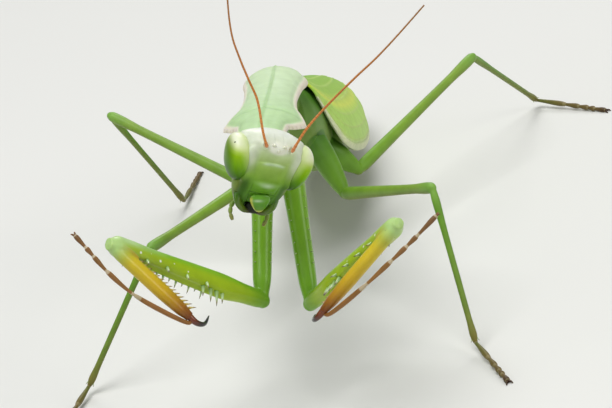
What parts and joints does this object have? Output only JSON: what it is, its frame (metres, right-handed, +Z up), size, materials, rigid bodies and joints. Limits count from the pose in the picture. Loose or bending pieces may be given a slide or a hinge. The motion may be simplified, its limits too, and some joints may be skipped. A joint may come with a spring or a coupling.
{
  "type": "praying mantis",
  "caption": "Life-size green praying mantis standing on its four walking legs, with spined grasping legs held out in front, long shield, folded wings and raised thread-like feelers.",
  "frame": {"origin": "on the floor plane, below the middle of the model's bounding box", "axes": "+Z up, +Y from the head towards the tail, +X towards the animal's left; the head faces about -Y"},
  "size_m": [0.0644, 0.0848, 0.0411],
  "materials": {
    "cuticle": "green chitin with a soft sheen, standing in as matte plastic",
    "eye": "glossy lime green compound eye with a paler top",
    "antenna": "matt orange brown",
    "shield": "pale mint green chitin with a whitish pink rim",
    "tegmen": "leathery green forewing, veined, with a pale outer rim",
    "hindwing": "folded pale green membrane, modelled opaque",
    "tibia": "yellow to orange chitin, the end claw darker",
    "foot": "brown, paler at the joints",
    "mouth": "glossy dark green"
  },
  "bodies": {
    "root": {"abdomen_front": "cuticle", "abdomen_middle": "cuticle", "abdomen_rear": "cuticle", "antenna_left": "antenna", "antenna_right": "antenna", "cercus_left": "cuticle", "cercus_right": "cuticle", "eye_left": "eye", "eye_right": "eye", "fore_coxa_left": "cuticle", "fore_coxa_right": "cuticle", "fore_femur_left": "cuticle", "fore_femur_right": "cuticle", "fore_tarsus_left": "foot", "fore_tarsus_right": "foot", "fore_tibia_left": "tibia", "fore_tibia_right": "tibia", "head": "cuticle", "hind_coxa_left": "cuticle", "hind_coxa_right": "cuticle", "hind_femur_left": "cuticle", "hind_femur_right": "cuticle", "hind_tarsus_left": "foot", "hind_tarsus_right": "foot", "hind_tibia_left": "cuticle", "hind_tibia_right": "cuticle", "hindwing_left": "hindwing", "hindwing_right": "hindwing", "labrum": "mouth", "mid_coxa_left": "cuticle", "mid_coxa_right": "cuticle", "mid_femur_left": "cuticle", "mid_femur_right": "cuticle", "mid_tarsus_left": "foot", "mid_tarsus_right": "foot", "mid_tibia_left": "cuticle", "mid_tibia_right": "cuticle", "neck": "cuticle", "palp_left": "mouth", "palp_right": "mouth", "pronotum": "shield", "prothorax": "cuticle", "tegmen_left": "tegmen", "tegmen_right": "tegmen", "thorax": "cuticle"}
  },
  "joints": []
}
